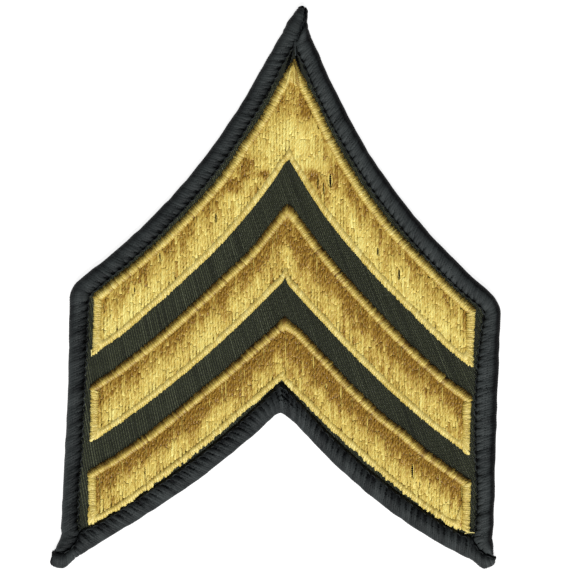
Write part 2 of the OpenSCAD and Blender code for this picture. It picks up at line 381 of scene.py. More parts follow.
class Threads:
    """Collects strands and plain solids, and makes one mesh of them.

    A point keeps how far along its strand it lies, its angle, how near a ply's crest it is, and its tone.
    """

    def __init__(self, sides, lobes, twist):
        """lobes is the share by which a ply stands out, and twist the length of one turn."""
        self.angles = 2 * math.pi * np.arange(sides) / sides
        self.crests = np.cos(2 * self.angles)
        self.radii = 1 + lobes * self.crests
        self.twist = twist
        self.points, self.quads, self.caps = [], [], []
        self.kept = {"along": [], "around": [], "crest": [], "tone": []}
        self.count = 0

    def tube(self, rings, kept, closed=False):
        """Joins equal rings of points, closed into a loop or with flat ends."""
        count, sides = rings.shape[:2]
        i, j = np.arange(count if closed else count - 1)[:, None], np.arange(sides)
        k = (j + 1) % sides
        a, b = self.count + i * sides, self.count + (i + 1) % count * sides
        self.quads.append(np.stack([a + j, b + j, b + k, a + k], -1).reshape(-1, 4))
        if not closed:
            self.caps += [self.count + j, self.count + (count - 1) * sides + j[::-1]]
        self.points.append(rings.reshape(-1, 3))
        for values, new in zip(self.kept.values(), kept):
            values.append(np.broadcast_to(new, (count, sides)).ravel())
        self.count += count * sides

    def strand(self, line, side, half_w, half_h, tone, phase=0.0, taper=1.0, sheared=False):
        """A thread along line. side points across it, so that side x direction is the thread's upper side.

        A sheared thread keeps side as it is, where others turn it square to the line.
        """
        ahead = unit(np.gradient(line, axis=0))
        side = np.broadcast_to(side, line.shape)
        if not sheared:
            side = side - (side * ahead).sum(1, keepdims=True) * ahead
        side = unit(side)
        up = unit(np.cross(side, ahead))
        steps = np.linalg.norm(np.diff(line, axis=0), axis=1)
        along = np.concatenate([[0], np.cumsum(steps)])[:, None]
        turn = self.angles - (2 * math.pi * along / self.twist + np.reshape(phase, (-1, 1)))
        reach = self.radii * np.reshape(taper, (-1, 1))
        rings = (
            line[:, None, :]
            + side[:, None, :] * (half_w * reach * np.cos(turn))[..., None]
            + up[:, None, :] * (half_h * reach * np.sin(turn))[..., None]
        )
        self.tube(rings, (along, self.angles, self.crests, np.reshape(tone, (-1, 1))))

    def solid(self, sections, tone, closed=False):
        """A plain solid through equal rings of points."""
        self.tube(np.array(sections), (0.0, 0.0, 1.0, tone), closed)

    def make(self, name, material, replaces=()):
        mesh = bpy.data.meshes.new(name)
        faces = np.concatenate(self.quads).tolist() + [cap.tolist() for cap in self.caps]
        mesh.from_pydata(np.concatenate(self.points) * MM, [], faces, shade_flat=False)
        for label, values in self.kept.items():
            data = mesh.attributes.new(label, "FLOAT", "POINT").data
            data.foreach_set("value", np.concatenate(values).astype(np.float32))
        mesh.materials.append(material)
        piece = put(name, mesh)
        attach(piece, "root")
        if replaces:
            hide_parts(*replaces)
        return piece


# Materials

# Places of a thread's dark and middle colour between the deep and the light one
TONES = (0.12, 0.5)
# Length of one turn of a thread's plies, and how many fibres go round it
PLY_TWIST = 2.2
FIBRES = 5.0
# How finely a thread is mottled
MOTTLE_ALONG, MOTTLE_TONE, MOTTLE_SCALE = 0.8, 91.0, 2.2
RIB_PITCH = 0.42
# The wave texture's scale for one wave in a unit
WAVE_UNIT = 2 * math.pi / 20


class Graph:
    """The nodes of one material."""

    def __init__(self, name, colour=(0.8, 0.8, 0.8)):
        self.material = bpy.data.materials.new(name)
        self.material.use_nodes = True
        self.material.diffuse_color = (*colour, 1)
        self.tree = self.material.node_tree
        self.shader = self.tree.nodes["Principled BSDF"]

    def feed(self, node, inputs):
        """Sets inputs of a node, by name or number, to values or to the outputs of other nodes."""
        for key, value in inputs.items():
            if isinstance(value, bpy.types.NodeSocket):
                self.tree.links.new(value, node.inputs[key])
            else:
                node.inputs[key].default_value = value
        return node

    def new(self, kind, inputs):
        return self.feed(self.tree.nodes.new(kind), inputs)

    def attribute(self, label):
        node = self.tree.nodes.new("ShaderNodeAttribute")
        node.attribute_name = label
        return node.outputs["Fac"]

    def math(self, operation, *values):
        node = self.tree.nodes.new("ShaderNodeMath")
        node.operation = operation
        return self.feed(node, dict(enumerate(values))).outputs[0]

    def noise(self, **inputs):
        return self.new("ShaderNodeTexNoise", inputs).outputs["Fac"]

    def colour(self, share, colours, places=()):
        """The base colour by a ramp. places are those of the colours between the first and the last."""
        node = self.new("ShaderNodeValToRGB", {"Fac": share})
        stops = node.color_ramp.elements
        stops[0].color, stops[1].color = (*colours[0], 1), (*colours[-1], 1)
        for place, colour in zip(places, colours[1:-1]):
            stops.new(place).color = (*colour, 1)
        self.feed(self.shader, {"Base Color": node.outputs["Color"]})

    def relief(self, height, strength, depth):
        node = self.new("ShaderNodeBump", {"Height": height, "Strength": strength, "Distance": depth * MM})
        self.feed(self.shader, {"Normal": node.outputs["Normal"]})

    def surface(self, roughness, specular, sheen=0.0):
        inputs = {"Roughness": roughness, "Specular IOR Level": specular, "Sheen Weight": sheen}
        self.feed(self.shader, inputs)


def thread_material(name, colours, roughness, specular, sheen=0.0, valley_shade=0.0, mottled=0.5):
    """Twisted thread: its colour follows the strand's tone, and fine fibres run round it.

    colours go from deep to light, the valley is painted shade, how much darker it is between plies, and
    mottled how uneven.
    """
    graph = Graph(name, colours[2])
    along, tone = graph.attribute("along"), graph.attribute("tone")
    turned = graph.math("MULTIPLY", along, 2 * math.pi / PLY_TWIST)
    angle = graph.math("ADD", graph.attribute("around"), turned)
    place = graph.new("ShaderNodeCombineXYZ", {
        "X": graph.math("MULTIPLY", along, MOTTLE_ALONG),
        "Y": graph.math("MULTIPLY", tone, MOTTLE_TONE),
        "Z": graph.math("SINE", angle),
    })
    noise = graph.noise(Vector=place.outputs[0], Scale=MOTTLE_SCALE, Detail=3)
    mottle = graph.math("MULTIPLY_ADD", noise, mottled, -0.5 * mottled)
    # Painted shade in the grooves between the plies
    shade = graph.math("MULTIPLY_ADD", graph.attribute("crest"), valley_shade / 2, 0.0)
    graph.colour(graph.math("ADD", graph.math("ADD", tone, shade), mottle), colours, TONES)
    wave = graph.math("SINE", graph.math("MULTIPLY", angle, FIBRES))
    graph.relief(graph.math("MULTIPLY_ADD", noise, 1.5, wave), strength=0.4, depth=0.02)
    graph.surface(roughness, specular, sheen)
    graph.feed(graph.shader, {"Sheen Roughness": 0.4})
    return graph.material


def twill_material(name, colour):
    """Bare twill for the cloth itself: fine steep ribs with a fleck."""
    graph = Graph(name, colour)
    place = graph.new("ShaderNodeTexCoord", {}).outputs["Object"]
    turned = graph.new("ShaderNodeMapping", {"Vector": place, "Rotation": (0, 0, math.radians(-21))})
    wave = {"Vector": turned.outputs["Vector"], "Scale": WAVE_UNIT / (RIB_PITCH * MM)}
    ribs = graph.new("ShaderNodeTexWave", wave).outputs["Fac"]
    fleck = graph.math("MULTIPLY_ADD", graph.noise(Vector=place, Scale=2500), 0.6, -0.1)
    shades = [[c * light for c in colour] for light in (0.45, 1.6)]
    graph.colour(graph.math("MULTIPLY_ADD", ribs, 0.5, fleck), shades)
    graph.relief(ribs, strength=0.8, depth=0.1)
    graph.surface(0.85, 0.25, sheen=0.15)
    return graph.material


GOLD = thread_material(
    "gold_thread", [(0.17, 0.085, 0.006), (0.34, 0.18, 0.014), (0.7, 0.535, 0.12), (0.96, 0.87, 0.3)],
    roughness=0.4, specular=0.5, valley_shade=0.2, mottled=0.8,
)
GOLD_SATIN = thread_material(
    "gold_satin_thread",
    [(0.04, 0.02, 0.004), (0.23, 0.12, 0.014), (0.6, 0.455, 0.098), (0.88, 0.78, 0.31)],
    roughness=0.4, specular=0.45, valley_shade=0.12, mottled=0.7,
)
CHARCOAL = thread_material(
    "border_thread",
    [(0.001, 0.0012, 0.0018), (0.004, 0.005, 0.006), (0.027, 0.032, 0.033), (0.052, 0.061, 0.062)],
    roughness=0.55, specular=0.12, mottled=0.35,
)
HOLE_SHADOW = thread_material(
    "needle_hole_shadow", [(level, level, level) for level in (0.001, 0.001, 0.002, 0.003)],
    roughness=0.9, specular=0.1,
)
TWILL = twill_material("twill", (0.014, 0.017, 0.01))
RIB = thread_material(
    "twill_yarn",
    [(0.01, 0.012, 0.005), (0.022, 0.027, 0.011), (0.062, 0.072, 0.036), (0.11, 0.125, 0.07)],
    roughness=0.8, specular=0.25, sheen=0.1,
)
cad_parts["ground"].data.materials.clear()
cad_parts["ground"].data.materials.append(TWILL)


# Border

# Path of a border stitch, over the edge and back below: [share of the width, share of the crest's height]
BORDER_LOOP = [
    [0, 0.66], [0.03, 0.8], [0.1, 0.91], [0.22, 0.975], [0.36, 1], [0.52, 1], [0.66, 0.955],
    [0.78, 0.87], [0.88, 0.755], [0.95, 0.62], [0.99, 0.46], [0.97, 0.28], [0.9, 0.12], [0.8, 0.02],
    [0.5, 0], [0.12, 0], [0.02, 0.12],
]
# The same where both sides of the band are free, at a bunched corner
FREE_LOOP = [
    [0, 0.4], [0.03, 0.62], [0.1, 0.8], [0.22, 0.94], *BORDER_LOOP[4:15], [0.15, 0.02], [0.03, 0.14],
]
# How far from each end of a band its inner side is free, and over what length it gets so
FREE_ENDS = ((7.0, 2.0), (5.0, 6.0), (2.0, 6.5))
FREE_FADE = 2.0
BORDER_PITCH = 0.45
# How far a stitch runs on along each band, and the share of it where the band is free
BORDER_SLANT = (1.3, 1.9, 1.3)
FREE_SLANT = 0.3
BORDER_HALF_W = 0.46
BORDER_HALF_H = 0.12
# For each band: [how far along it, how far its stitches stand out there from the solid's outer edge]
BORDER_PROUD = (
    [[0, 0.25], [1.5, 0.13], [6.5, 0.08], [8.2, 0.32], [11, 0.42], [20, 0.5], [30, 0.38], [60, 0.45],
     [97, 0.45], [103, 0.65], [108, 0.52], [112, 0.12], [114.5, -0.15], [115.6, -0.5]],
    [[0, -0.68], [0.8, -0.18], [1.6, -0.05], [2.3, 0.06], [3.4, 0.38], [4.5, 0.2], [6, -0.14], [10, 0],
     [13, 0.1], [24, 0.24], [36, 0.06], [42, -0.14], [47, -0.25], [53, 0.05], [60, 0.12], [100, 0.15],
     [105.3, 0.3], [106.3, 0.1], [107.6, 0.15], [108.4, 0.35]],
    [[0, -0.3], [6, -0.25], [7.5, 0.15], [12, 0.18], [22, 0], [32, -0.1], [42, 0.02], [50, 0.2],
     [60, 0.3], [100, 0.25], [107, 0.1], [110, -0.1], [113, -0.35], [117, -0.3], [118.2, 0],
     [119.2, 0.3]],
)
# How much painted shade darkens each band, where a negative change paints light: [how far along it, change
# at the flank, change at the needle line, share of the width where the latter has faded]
BAND_SHADE = (
    [[0, 0.7, 0, 0.5]],
    [[0, 0.12, 0.36, 0.5]],
    [[40, -0.12, 0.27, 0.95], [48, 0.3, 0.22, 0.5]],
)
# The right band is a little lighter, but its start at the tip lies in the left band's shadow
RIGHT_LIGHT, TIP_SHADE, TIP_DARK = 0.08, 4.5, 0.6
# Needle holes: their pitch, how far one is felt along the line, and across it on the sides and the bottom,
# how deep it dents a stitch, and how far it pulls in the stitch's start
HOLE_PITCH = 1.42
HOLE_REACH = 0.3
DENT_REACH = (0.42, 0.58)
DENT_DEPTH = 0.3
NEEDLE_PULL = 0.22
# How far out from the needle line the bottom's holes lie, as a share of the border's width
LOW_HOLE_SHARE = 0.26
# How uneven the border is: its edge, its crest in long and short swells, and its stitches' course
EDGE_SWELL, SWELL, SHORT_SWELL, WANDER = 0.07, 0.06, 0.02, 0.05
SWELL_LEN, SHORT_SWELL_LEN = 1.6, 0.7
CORE_DEPTH = 0.6
# Thread heaped on the very tip: its x, half its width, where it starts, how fast it rises and how far
TIP_CAP = (1.6, 0.9, 49.6, 1.5, 0.28)


class Band:
    """A band of the border: its stations, by how far along the band a stitch stands."""

    def __init__(self, stations, closed=False):
        self.stations = np.concatenate([stations, stations[:1]]) if closed else stations
        steps = np.linalg.norm(np.diff(self.stations, axis=0), axis=2)
        self.places = np.concatenate([[0], np.cumsum(steps.max(1))])
        self.needle_places = np.concatenate([[0], np.cumsum(steps[:, 0])])
        self.length = self.places[-1]
        last = self.stations[1] if closed else 2 * self.stations[-1] - self.stations[-2]
        first = self.stations[-2] if closed else 2 * self.stations[0] - self.stations[1]
        self.padded = np.concatenate([[first], self.stations, [last]])

    def at(self, place):
        """Needle and outer point at each place, on a smooth curve through the stations."""
        place = np.clip(np.asarray(place, float), 0, self.length)
        i = np.clip(np.searchsorted(self.places, place, side="right") - 1, 0, len(self.places) - 2)
        spans = np.diff(self.places)
        spans = np.concatenate([spans[:1], spans, spans[-1:]])
        before, span, after = (spans[i + k][..., None, None] for k in (0, 1, 2))
        t = (place - self.places[i])[..., None, None] / span
        p0, p1, p2, p3 = (self.padded[i + k] for k in (0, 1, 2, 3))
        slope1 = (p2 - p0) * span / (span + before)
        slope2 = (p3 - p1) * span / (span + after)
        return (
            p1 * (2 * t**3 - 3 * t**2 + 1) + slope1 * (t**3 - 2 * t**2 + t)
            + p2 * (3 * t**2 - 2 * t**3) + slope2 * (t**3 - t**2)
        )

    def needle_at(self, place):
        """How far along the needle line a place is."""
        return np.interp(place, self.places, self.needle_places)


def inset(path, distance):
    """A path in the plane moved to its right by a distance."""
    ahead = np.gradient(path, axis=0)
    ahead /= np.linalg.norm(ahead, axis=1, keepdims=True)
    return path + right_of(ahead) * distance


def hole_pull(needle_place):
    """How strongly a stitch is pulled in by the nearest needle hole, from 0 to 1."""
    away = (needle_place / HOLE_PITCH + 0.5) % 1 - 0.5
    return math.exp(-(away * HOLE_PITCH / HOLE_REACH) ** 2)


def tip_cap(flat):
    x, half_w, y, rise, proud = TIP_CAP
    return proud * np.exp(-(((flat[:, 0] - x) / half_w) ** 2)) * smooth((flat[:, 1] - y) / rise)


def border_section(shares, width, proud, lump, pull, dent, is_low):
    """Section of a stitch: how far out and how high each of its points lies."""
    height = CREST_Z * np.sqrt(np.clip(width / CREST_Z, 0.1, 1))
    section = np.stack([shares[:, 0] * np.maximum(width + proud, 0.3), shares[:, 1] * height], 1)
    section = inset(section, BORDER_HALF_H) * [1, lump]
    section[:, 1] = np.maximum(section[:, 1] - DENT_DEPTH * dent, BORDER_HALF_H)
    if not is_low:
        section[:3, 0] += NEEDLE_PULL * pull
    return section


def border_painted_shade(number, place, from_end, share, dent):
    """How much lighter a stitch's points are than the middle tone: painted shade and light at the flank and
    the needle line, painted shade in needle dents, near the ends and at the tip; the right band is a little
    lighter.
    """
    places, *changes = np.transpose(BAND_SHADE[number])
    flank, inner, faded = (np.interp(place, places, values) for values in changes)
    tone = -flank * smooth((share - 0.55) / 0.35) - inner * np.clip(1 - share / faded, 0, 1)
    # Painted shade in the needle dents and where a band's end lies in the crease under its neighbour
    tone = tone - 0.5 * dent - 0.3 * (1 - smooth(from_end / 1.5))
    if number == 0:
        tone += RIGHT_LIGHT - TIP_DARK * (1 - smooth((place - TIP_SHADE) / 1.5 + 0.5))
    return tone


def sew_band(threads, band, number, rng):
    is_low = number == 1
    wander, swell = lattice_noise(1 + 7 * number), lattice_noise(2 + 7 * number)
    free_start, free_end = FREE_ENDS[number]
    count = int(band.length / BORDER_PITCH)
    for place in band.length * (np.arange(count) + 0.5) / count:
        from_end = band.length - place
        into, out_of = (place - free_start) / FREE_FADE, (free_end - from_end) / FREE_FADE
        loose = max(1 - smooth(into), smooth(out_of))
        shares = mix(np.array(BORDER_LOOP), np.array(FREE_LOOP), loose)
        slant = BORDER_SLANT[number] * mix(1, FREE_SLANT, loose)
        places = np.clip(place - slant * shares[:, 0], 0.02, band.length)
        needle, outer = np.moveaxis(band.at(places), 1, 0)
        width = np.linalg.norm(outer - needle, axis=1)
        out = (outer - needle) / width[:, None]
        proud = read(BORDER_PROUD[number], place - slant) + EDGE_SWELL * swell(place / SWELL_LEN, 20)
        lump = 1 + SWELL * swell(place / SWELL_LEN, 0) + SHORT_SWELL * swell(place / SHORT_SWELL_LEN, 9)
        pull = hole_pull(band.needle_at(place)) * (1 - loose)
        from_hole = (shares[:, 0] - LOW_HOLE_SHARE * is_low) / DENT_REACH[is_low]
        dent = pull * (shares[:, 1] > 0.5) * (1 - np.abs(np.clip(from_hole, -0.6, 1))) ** 1.5
        section = border_section(shares, width, proud, lump, pull, dent, is_low)
        flat = needle + out * section[:, :1]
        flat -= right_of(out) * (WANDER * wander(place / 0.5, section[:, :1] / 0.8))
        flat[:, 1] += tip_cap(flat)
        onward, back = (band.at(np.clip(places + step, 0, band.length)) for step in (0.3, -0.3))
        side = mix(*np.moveaxis(onward - back, 1, 0), shares[:, :1])
        side = side + 0.05 * right_of(out)
        tone = 0.5 + 0.06 * rng.standard_normal() + 0.1 * swell(place / 1.3, 5)
        tone = tone + border_painted_shade(number, place, min(place, from_end), shares[:, 0], dent)
        half_w = BORDER_HALF_W * (mix(0.3, 1.0, smooth(place)) if is_low else 1.0)
        line = np.concatenate([flat, section[:, 1:]], 1)
        side = np.pad(side, ((0, 0), (0, 1)))
        threads.strand(line, side, half_w, BORDER_HALF_H, tone, any_phase(rng), sheared=True)


def make_border(outline, bands):
    rng = np.random.default_rng(SEED + 1)
    threads = Threads(sides=6, lobes=0.06, twist=2.4)
    for number, band in enumerate(bands):
        sew_band(threads, band, number, rng)
    core = np.array(BORDER_LOOP) * [1, CREST_Z]
    corners = settle([TIP_C, FOOT_C, (-FOOT_C[0], FOOT_C[1])])
    sections = []
    for needle, outer in outline.at(np.linspace(0, outline.length, 400, endpoint=False)):
        out = outer - needle
        width = np.linalg.norm(out)
        section = inset(core * [width, 1], CORE_DEPTH)
        section[:, 1] *= 1 - 0.5 * (1 - smooth(np.linalg.norm(corners - needle, axis=1).min() / 2.5 - 0.2))
        points = needle + out / width * section[:, :1]
        sections.append(np.concatenate([points, section[:, 1:]], 1)[::-1])
    threads.solid(sections, 0.0, closed=True)
    threads.make("border_stitches", CHARCOAL, ["border"])


# Chevrons

FILL_PITCH = 0.48
FILL_HALF_W = 0.265
FILL_HALF_H = 0.19
FILL_LEAN = -0.05
STITCH_LEN = 3.6
SHORTEST = 0.5
RING_STEP = 0.2
# How far a stitch runs on below the edging
TUCK = 0.35
# How far a column strays, and a stitch from its column in long and short waves
COLUMN_STRAY, LONG_STRAY, SHORT_STRAY = 0.16, 0.15, 0.08
# How deep a stitch's ends dip and how far from them, and how uneven the heights are
END_DIP, DIP_LEN = 0.045, 0.25
WAVE_H, NOISE_H = 0.05, 0.02
# How uneven the tone is: by the stitch, in patches and along the thread, and the darkest it gets
TONE_NOISE, TONE_PATCH, TONE_WAVE, TONE_LEAST = 0.09, 0.11, 0.14, 0.08
# How a thread's phase changes along it
PHASE_STRAY = 1.8

# Section of the padding below the stitches: [share across, share of its height]
PADDING = [[0.02, 0], [0.03, 0.3], [0.1, 0.4], [0.3, 1], [0.7, 1], [0.9, 0.4], [0.97, 0.3], [0.98, 0]]
PADDING_H = 0.52

# Painted sheen and shade by region, from how the light falls on the thread's lay: how much lighter it is at
# the left end, on the left leg, in the middle, on the right leg, at its end
FILL_SHEEN = {
    "upper": (0.16, 0.1, 0.11, 0.04, 0.18),
    "middle": (0.12, 0.05, -0.06, -0.06, 0.00),
    "lower": (-0.01, -0.02, -0.13, -0.04, 0.05),
}
# How much painted shade darkens it under the top edging, and next to the edging of the ends
FILL_TOP_SHADE = {"upper": 0.34, "middle": 0.46, "lower": 0.62}
FILL_END_SHADE = 0.3
# Patches where it is darker or lighter: x and y of the middle, half its width and height, change of tone.
# The dark ones near x -5 and 4 at y 20 to 21 are painted shade in the dents a staple pressed into the
# thread
PATCHES = [
    (-7.7, 21.7, 1.3, 2, -0.42), (-10.3, 18.6, 1.7, 1.4, -0.38), (-4.9, 21, 1.3, 0.8, -0.36),
    (3.9, 21.1, 1.6, 1.2, -0.46), (7.9, 20.8, 1.1, 2.2, -0.24), (11.2, 19.3, 1.5, 2.2, -0.18),
    (2.6, 33.9, 1, 2.6, -0.32), (-2.5, 33.6, 1, 2.1, -0.1), (-0.7, 28.3, 3.4, 3, 0.14),
    (-5.2, 28.6, 1.9, 3.4, 0.26), (6.7, 27.2, 2.2, 3, 0.3), (-4.1, 26.4, 0.6, 0.9, -0.22),
    (-4.4, 20.2, 1.1, 1.5, -0.3), (-6.1, 17.8, 1.2, 1.5, -0.26), (6, 18.2, 2.5, 3.4, -0.34),
    (3.4, 28.6, 1.6, 2.4, 0.16),
]

# Places where two columns of the fill have parted: x and y of the middle, length, width
SLITS = [
    (7.5, 20.3, 2.7, 0.34), (5.3, 19.8, 2.4, 0.11), (6.3, 19, 2.6, 0.11), (-27.2, -0.9, 1.9, 0.15),
    (-22.9, 5.2, 1.8, 0.12), (-13, 12.8, 1.8, 0.12), (-24.2, -33.6, 2.9, 0.13), (20.6, 3.8, 2.5, 0.18),
    (16.6, 7.7, 1.8, 0.13), (24.3, -31.8, 2.8, 0.17), (25.8, -34.2, 1.6, 0.13), (27.6, -34.1, 1.4, 0.12),
    (7.9, -17, 1.1, 0.11),
]
# How far a slit pushes threads aside, in its widths, how far that reaches, and from how far it fetches one
# back to its own side
SLIT_PUSH, SLIT_REACH, SLIT_FETCH = 1.9, 0.8, 0.4
# Half the width of a slit's painted shadow, in the slit's widths and at most
SLIT_SHADOW, SLIT_SHADOW_MOST = 1.25, 0.26

# How far in from the solid's edge the thread lies, along a chevron's top left, top right, low left and low
# right. Rows: [distance from the axis, how far in]
STRAY = {
    "upper": (
        [[0, 0.45], [1.5, 0.2], [5, 0.28], [8, 0.1], [12, 0.35], [18, 0.05], [24, -0.12], [30, -0.25]],
        [[0, 0.35], [1.5, 0], [4, -0.2], [9, 0.1], [18, 0.15], [22, -0.2], [26, -0.38], [31, -0.25]],
        [[0, 0.2], [1, 0.55], [2.5, 0.28], [5, 0.08], [12, -0.1], [19, 0.1], [26, 0.05], [30, -0.08],
         [33, 0.15], [34.5, 0.35]],
        [[0, 0.15], [1, 0.06], [3, -0.05], [7, -0.3], [10, -0.23], [18, 0], [23, 0.17], [30, -0.05],
         [33, 0.05], [34.5, 0.5]],
    ),
    "middle": (
        [[0, -0.1], [2.5, 0.18], [5, 0.4], [7, 0.5], [10, 0.25], [16, 0.1], [23, 0.22], [30, 0],
         [33, -0.4]],
        [[0, -0.07], [5, 0.05], [10, 0.04], [14, -0.1], [20, 0], [30, -0.05], [33, -0.35]],
        [[0, 0.3], [1, -0.1], [3, 0], [18, -0.08], [26, 0], [30, 0.1], [33, 0.45], [34.5, 0.85]],
        [[0, 0.2], [1, -0.33], [4.5, -0.19], [8, -0.05], [28, 0], [33, 0.25], [34.5, 0.1]],
    ),
    "lower": (
        [[0, 0.45], [2.5, 0.45], [5, 0.22], [10, 0.2], [14, 0.05], [18, 0.15], [24, 0.33], [30, 0.1],
         [33, -0.35]],
        [[0, 0.25], [1, 0.2], [2.5, -0.3], [8, -0.4], [11, -0.2], [18, -0.05], [22, -0.4], [26, -0.2],
         [33, -0.5]],
        [[0, -0.4], [2.5, -0.2], [4.5, -0.07], [7, 0.27], [12, 0.2], [18, 0.07], [22, -0.08],
         [26, -0.45], [30, -0.5], [33, -0.25], [34.5, 0.1]],
        [[0, -0.4], [1, -0.45], [2.5, -0.2], [4.5, 0.05], [9, 0.15], [14, 0.37], [18, 0.27], [22, 0.07],
         [27, -0.08], [32.4, -0.05], [33.2, 0.25], [34, 0.85]],
    ),
}
# The same for each chevron's left and right end, at the top of the end and at its bottom
END_STRAY = {
    "upper": ((0.12, 0.26), (0.08, 0.08)),
    "middle": ((0.18, 0.38), (0.22, 0.18)),
    "lower": ((0.22, 0.75), (-0.3, -0.36)),
}


def stray(name, is_low, x):
    return read(STRAY[name][2 * is_low + (x > 0)], abs(x))


def fill_height(u, v):
    """Height of the fill over the twill, at a share u along the half width and a share v across."""
    edge = mix(FILL_LOW_H, FILL_EDGE_H, v)
    return mix(edge, FILL_MID_H, np.sin(math.pi * v) * np.clip((1 - u) / 0.12, 0, 1))


def fill_ends(name, stripe, column, sides):
    """The middle of a leaning column, and where it meets the low and the top edging."""
    middle = (stripe_top(stripe, column) + stripe_low(stripe, column)) / 2
    ends = []
    for is_low, edge, width in ((1, stripe_low, EDGING_LOW), (0, stripe_top, EDGING_TOP)):
        pull = width + max(0.0, stray(name, is_low, column))
        y = middle
        for _ in range(4):
            y = edge(stripe, np.clip(column + FILL_LEAN * (y - middle), *sides), pull)
        ends.append(float(y))
    return middle, *ends


def parted(x, y, column, middle):
    """x of a stitch's points, pushed aside at the slits, each stitch to its own side."""
    for slit_x, slit_y, length, width in SLITS:
        near = np.sqrt(np.clip(1 - ((y - slit_y) / (length / 2)) ** 2, 0, 1))
        side = 1 if column + FILL_LEAN * (slit_y - middle) > slit_x else -1
        away = side * (x - slit_x)
        push = SLIT_PUSH * width * np.exp(-((away / SLIT_REACH) ** 2))
        x = x + side * near * (push + np.maximum(-away, 0) * (away > -SLIT_FETCH))
    return x


def fill_tone(name, column, x, y, v, sides):
    """Tone of a stitch's points before its random unevenness: painted sheen and shade by region, painted
    shade under the top edging and next to the ends' edging, and the patches.
    """
    tone = 0.5 + np.interp(column / (FIELD_W - EDGING_END), (-1, -0.4, 0, 0.4, 1), FILL_SHEEN[name])
    tone = tone - FILL_TOP_SHADE[name] * smooth((v - 0.25) / 0.65)
    tone = tone - FILL_END_SHADE * math.exp(-((min(column - sides[0], sides[1] - column) / 0.8) ** 2))
    for patch_x, patch_y, half_x, half_y, change in PATCHES:
        tone = tone + change * np.exp(-(((x - patch_x) / half_x) ** 4) - ((y - patch_y) / half_y) ** 4)
    return tone


def make_fill(name, stripe, number):
    rng = np.random.default_rng(SEED + 10 + number)
    drift, crowd, lift = (lattice_noise(10 * number + k) for k in (3, 4, 5))
    threads = Threads(sides=8, lobes=0.12, twist=PLY_TWIST)
    inner = FIELD_W - EDGING_END
    sides = END_STRAY[name][0][0] - inner, inner - END_STRAY[name][1][0]
    for column in np.arange(sides[0] + FILL_PITCH / 2, sides[1], FILL_PITCH):
        column += COLUMN_STRAY * crowd(column / 0.9, 0)
        middle, low, high = fill_ends(name, stripe, column, sides)
        needle = low - TUCK - rng.uniform(0, 1) * STITCH_LEN
        while needle < high + TUCK:
            length = STITCH_LEN * rng.uniform(0.8, 1.15)
            first, last = max(needle, low - TUCK), min(needle + length, high + TUCK)
            needle += length
            if last - first < SHORTEST:
                continue
            y = np.linspace(first, last, int((last - first) / RING_STEP) + 3)
            x = column + FILL_LEAN * (y - middle) + LONG_STRAY * drift(column / 1.3, y / 2.6)
            x = x + SHORT_STRAY * drift(column / 0.45 + 30, y / 1.3)
            x = np.clip(parted(x, y, column, middle), sides[0] - 0.1, sides[1] + 0.1)
            v = np.clip((y - low) / (high - low), 0, 1)
            near_end = np.minimum(y - first, last - y)
            z = STITCH_Z + fill_height(abs(column) / inner, v) - FILL_HALF_H * 1.1
            z = z - END_DIP * np.exp(-((near_end / DIP_LEN) ** 2)) + WAVE_H * lift(column / 0.45, y / 1.3)
            z = z + NOISE_H * rng.standard_normal()
            tone = fill_tone(name, column, x, y, v, sides) + TONE_NOISE * rng.standard_normal()
            tone = tone + TONE_PATCH * crowd(column / 2.3 + 20, first / 5)
            tone = np.maximum(tone + TONE_WAVE * drift(column / 0.3 + 9, y / 0.7), TONE_LEAST)
            phase = any_phase(rng) + PHASE_STRAY * lift(column / 0.3 + 40, y / 1.6)
            taper = 0.9 + 0.1 * smooth(near_end / 0.3)
            threads.strand(laid(x, y, z), ACROSS, FILL_HALF_W, FILL_HALF_H, tone, phase, taper)
    threads.solid(padding_sections(name, stripe), 0.45)
    node = f"{name}_chevron_fill"
    return threads.make(f"{node}_stitches", GOLD, [node])


def add_slit_shadows(hole_shadows):
    """Painted shadow: a black sheet at the bottom of each slit in the fill."""
    t = np.linspace(-1, 1, 9)
    for slit_x, slit_y, length, width in SLITS:
        y = slit_y + t * length / 2
        line = laid(slit_x + FILL_LEAN * (y - slit_y), y, STITCH_Z + PADDING_H + 0.06)
        half_w = min(SLIT_SHADOW * width, SLIT_SHADOW_MOST)
        hole_shadows.strand(line, ACROSS, half_w, 0.08, 0.0, taper=1.05 - t**2)


def padding_sections(name, stripe):
    sections = []
    shares, heights = np.transpose(PADDING[::-1])
    for x in np.linspace(-1, 1, 61) * (FIELD_W - 1.0):
        low = stripe_low(stripe, x, 0.5 + max(0.0, stray(name, 1, x)))
        high = stripe_top(stripe, x, 0.8 + max(0.0, stray(name, 0, x)))
        rise = np.clip((FIELD_W - abs(x)) / 6, 0.3, 1)
        sections.append(laid(x, mix(low, high, shares), STITCH_Z + PADDING_H * heights * rise))
    return sections


# How far from a corner the edging's stitches begin to turn to its mitre
MITRE_REACH = 1.6


class Edge:
    """One stretch of a chevron's edging.

    at(place, share) gives a point by its place along the stretch and its share across the edging, and
    limits(share) the places of the two corners.
    """

    def __init__(self, at, limits):
        self.at = at
        self.limits = limits
        self.start, self.end = limits(0.5)

    def stitch(self, place, shares):
        """Points of the stitch at a place, across the edging. Near a corner it turns to the mitre."""
        places = np.full(len(shares), place, float)
        for k, corner in enumerate((self.start, self.end)):
            weight = math.exp(-(abs(place - corner) / MITRE_REACH) ** 1.5)
            places += weight * np.array([self.limits(s)[k] - corner for s in shares])
        return np.array([self.at(p, s) for p, s in zip(places, shares)])

    def spread(self, pitch):
        """Places of the stitches, so that none is further than a pitch from the next on either side."""
        steps = np.linspace(self.start, self.end, 200)
        sides = np.array([self.stitch(place, np.array([0.0, 1.0])) for place in steps])
        strides = np.linalg.norm(np.diff(sides, axis=0), axis=2).max(1)
        run = np.concatenate([[0], np.cumsum(strides)])
        count = round(run[-1] / pitch)
        return np.interp((np.arange(count) + 0.5) / count * run[-1], run, steps)


